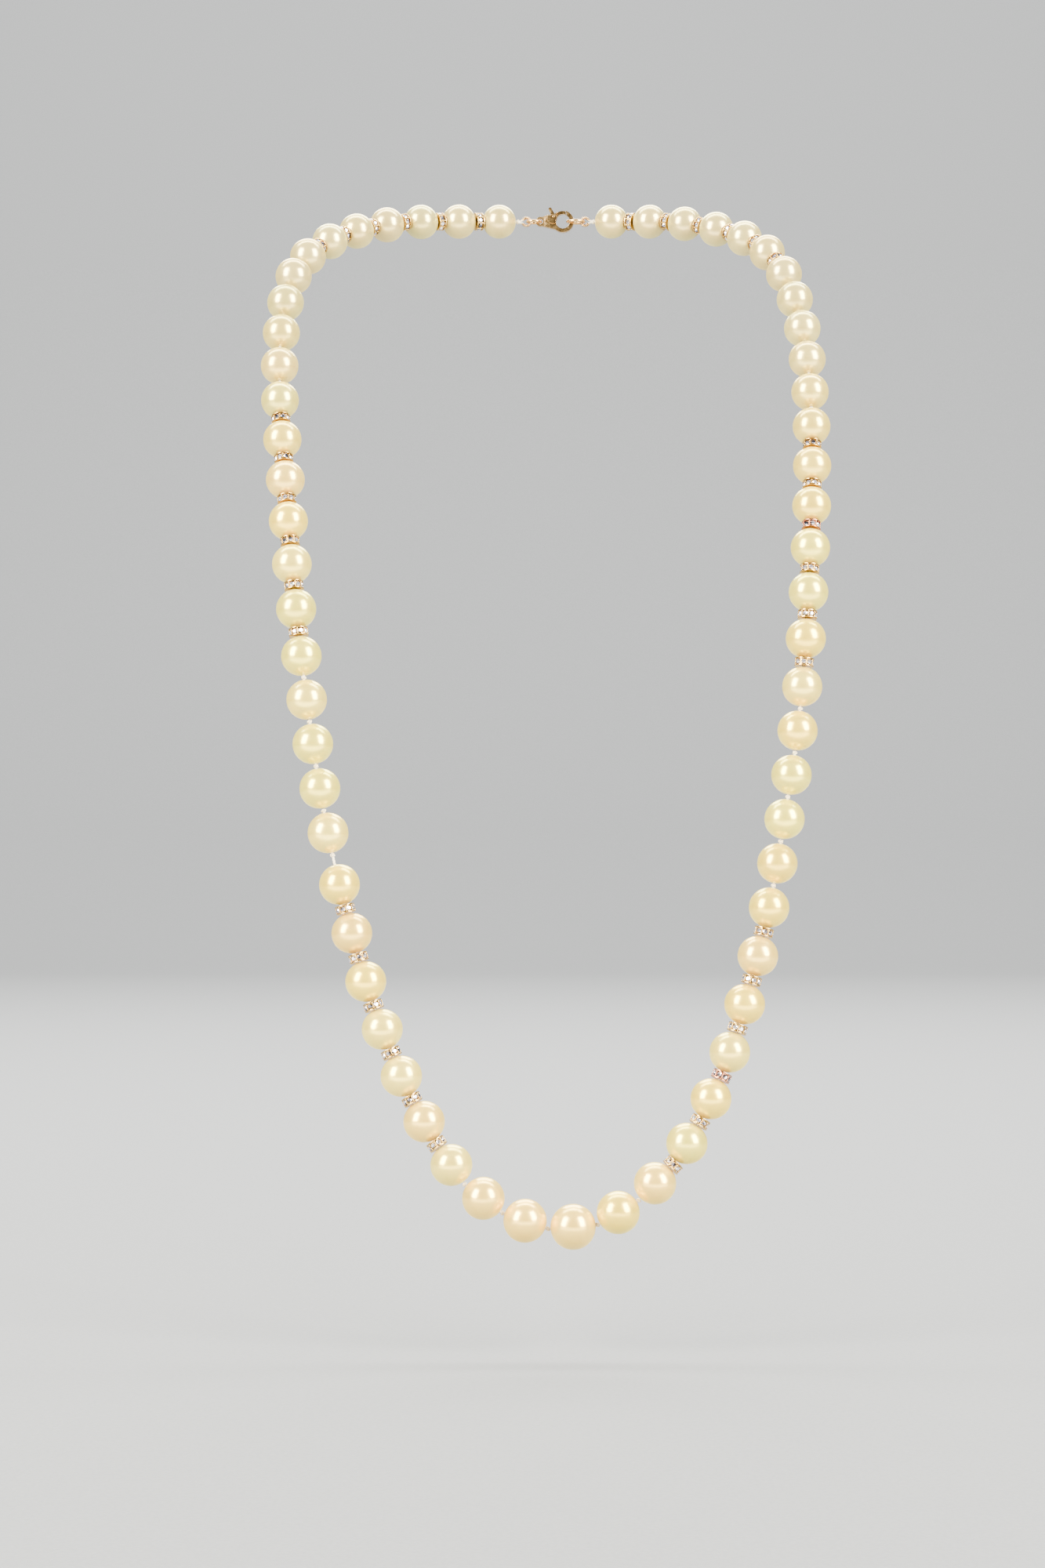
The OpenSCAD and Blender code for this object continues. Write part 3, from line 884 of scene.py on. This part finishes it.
def string_rondelles(pearls):
    yellow = polished_gold("yellow_gold", (0.52, 0.31, 0.07), (0.76, 0.52, 0.16))
    rose = polished_gold("rose_gold", (0.46, 0.20, 0.10), (0.66, 0.32, 0.18))
    crystal = crystal_with_painted_flashes()
    setting = model_setting()
    stone = model_stone()
    ring = []
    for i in range(STONES_ROUND):
        turn = 2 * math.pi * (i + 0.5) / STONES_ROUND
        ring.append(copy_of(stone, "stone", Matrix.Rotation(turn, 4, "Z")))
    stones = joined(ring, "stones")
    for (side, number), below in pearls.items():
        if not has_rondelle(number):
            continue
        away = below.radius + SEAT_SPACE + RONDELLE_THICK / 2
        turn = 2 * math.pi * varied(side, number, 8)
        placing = Matrix.Translation(below.middle + below.way * away) @ upright_to(below.way, turn)
        body = body_of(below.node)
        gold = rose if (side, number) in ROSE_GOLD_RONDELLES else yellow
        for template, part, finish, slot in (
            (setting, "setting", gold, "gold"),
            (stones, "stones", crystal, "stone"),
        ):
            piece = copy_of(template, f"{part}_{side}_{number:02d}", placing)
            piece.data.materials.append(finish)
            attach(piece, body)
            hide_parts(below.node.replace("pearls", "settings" if part == "setting" else part))
    put_away(setting, stone, stones)


# ---------------------------------------------------------------- clasp

Clasp = namedtuple("Clasp", "way up left_gimp right_gimp")


def read_clasp():
    """The clasp's line runs through the middles of its two rings."""
    rings = []
    for node in ("jump_ring", "end_ring"):
        low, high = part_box(node)
        rings.append((low + high) / 2)
    way = (rings[1] - rings[0]).normalized()
    up = (Vector((0, 0, 1)) - way.z * way).normalized()
    return Clasp(way, up, rings[0] - way * GIMP_TO_JUMP_RING, rings[1] + way * END_RING_TO_GIMP)


def polished_copy(node, edge):
    """A CAD solid with its edges rounded over, as a polisher leaves them."""
    piece = bpy.data.objects.new(f"{node}_polished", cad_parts[node].data.copy())
    bpy.context.collection.objects.link(piece)
    piece.data.materials.clear()
    edit(piece)
    bpy.ops.mesh.select_all(action="SELECT")
    bpy.ops.mesh.remove_doubles(threshold=1e-7)
    bpy.ops.mesh.dissolve_limited(angle_limit=math.radians(3))
    bpy.ops.object.mode_set(mode="OBJECT")
    round_over = piece.modifiers.new("round_over", "BEVEL")
    round_over.width = edge
    round_over.segments = 3
    round_over.limit_method = "ANGLE"
    round_over.angle_limit = math.radians(40)
    finish_modifiers(piece)
    edit(piece)
    done(piece, 30)
    return piece


def wound_gimp(name, middle, inward, up):
    """French wire: a fine coil wound close, bent into a loop with its mouth at the knot."""
    turns = 40
    steps = 12
    wire_thick = 0.13 * MM
    coil = (GIMP_THICK - wire_thick) / 2
    side = up.cross(inward)
    places = []
    for i in range(turns * steps + 1):
        a = GIMP_MOUTH / 2 + (2 * math.pi - GIMP_MOUTH) * i / (turns * steps)
        out = math.sin(a) * up - math.cos(a) * inward
        b = 2 * math.pi * i / steps
        places.append(
            middle + out * (GIMP_LOOP + coil * math.cos(b)) + side * coil * math.sin(b)
        )
    return wire(name, places, wire_thick, sides=1)


def make_clasp(clasp):
    """All of the clasp rides on the nape but its trigger. The rings and spring keep their shape."""
    gold = polished_gold("clasp_gold", (0.55, 0.31, 0.09), (0.78, 0.50, 0.20))
    for node, edge, body in (
        ("clasp_body", 0.22 * MM, "nape"),
        ("clasp_trigger", 0.16 * MM, "trigger"),
        ("clasp_pin", 0.1 * MM, "nape"),
    ):
        piece = polished_copy(node, edge)
        piece.data.materials.append(gold)
        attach(piece, body)
        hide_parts(node)
    for name, middle, inward in (
        ("gimp_left", clasp.left_gimp, clasp.way),
        ("gimp_right", clasp.right_gimp, -clasp.way),
    ):
        piece = wound_gimp(name, middle, inward, clasp.up)
        piece.data.materials.append(gold)
        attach(piece, "nape")
        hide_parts("gimp")
    for node in ("jump_ring", "end_ring", "clasp_spring"):
        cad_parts[node].data.materials.clear()
        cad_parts[node].data.materials.append(gold)


make_camera()
light_the_room()
make_floor()
string = follow_string()
clasp_frame = read_clasp()
string_pearls(string)
string_silk(string, clasp_frame)
string_rondelles(string)
make_clasp(clasp_frame)
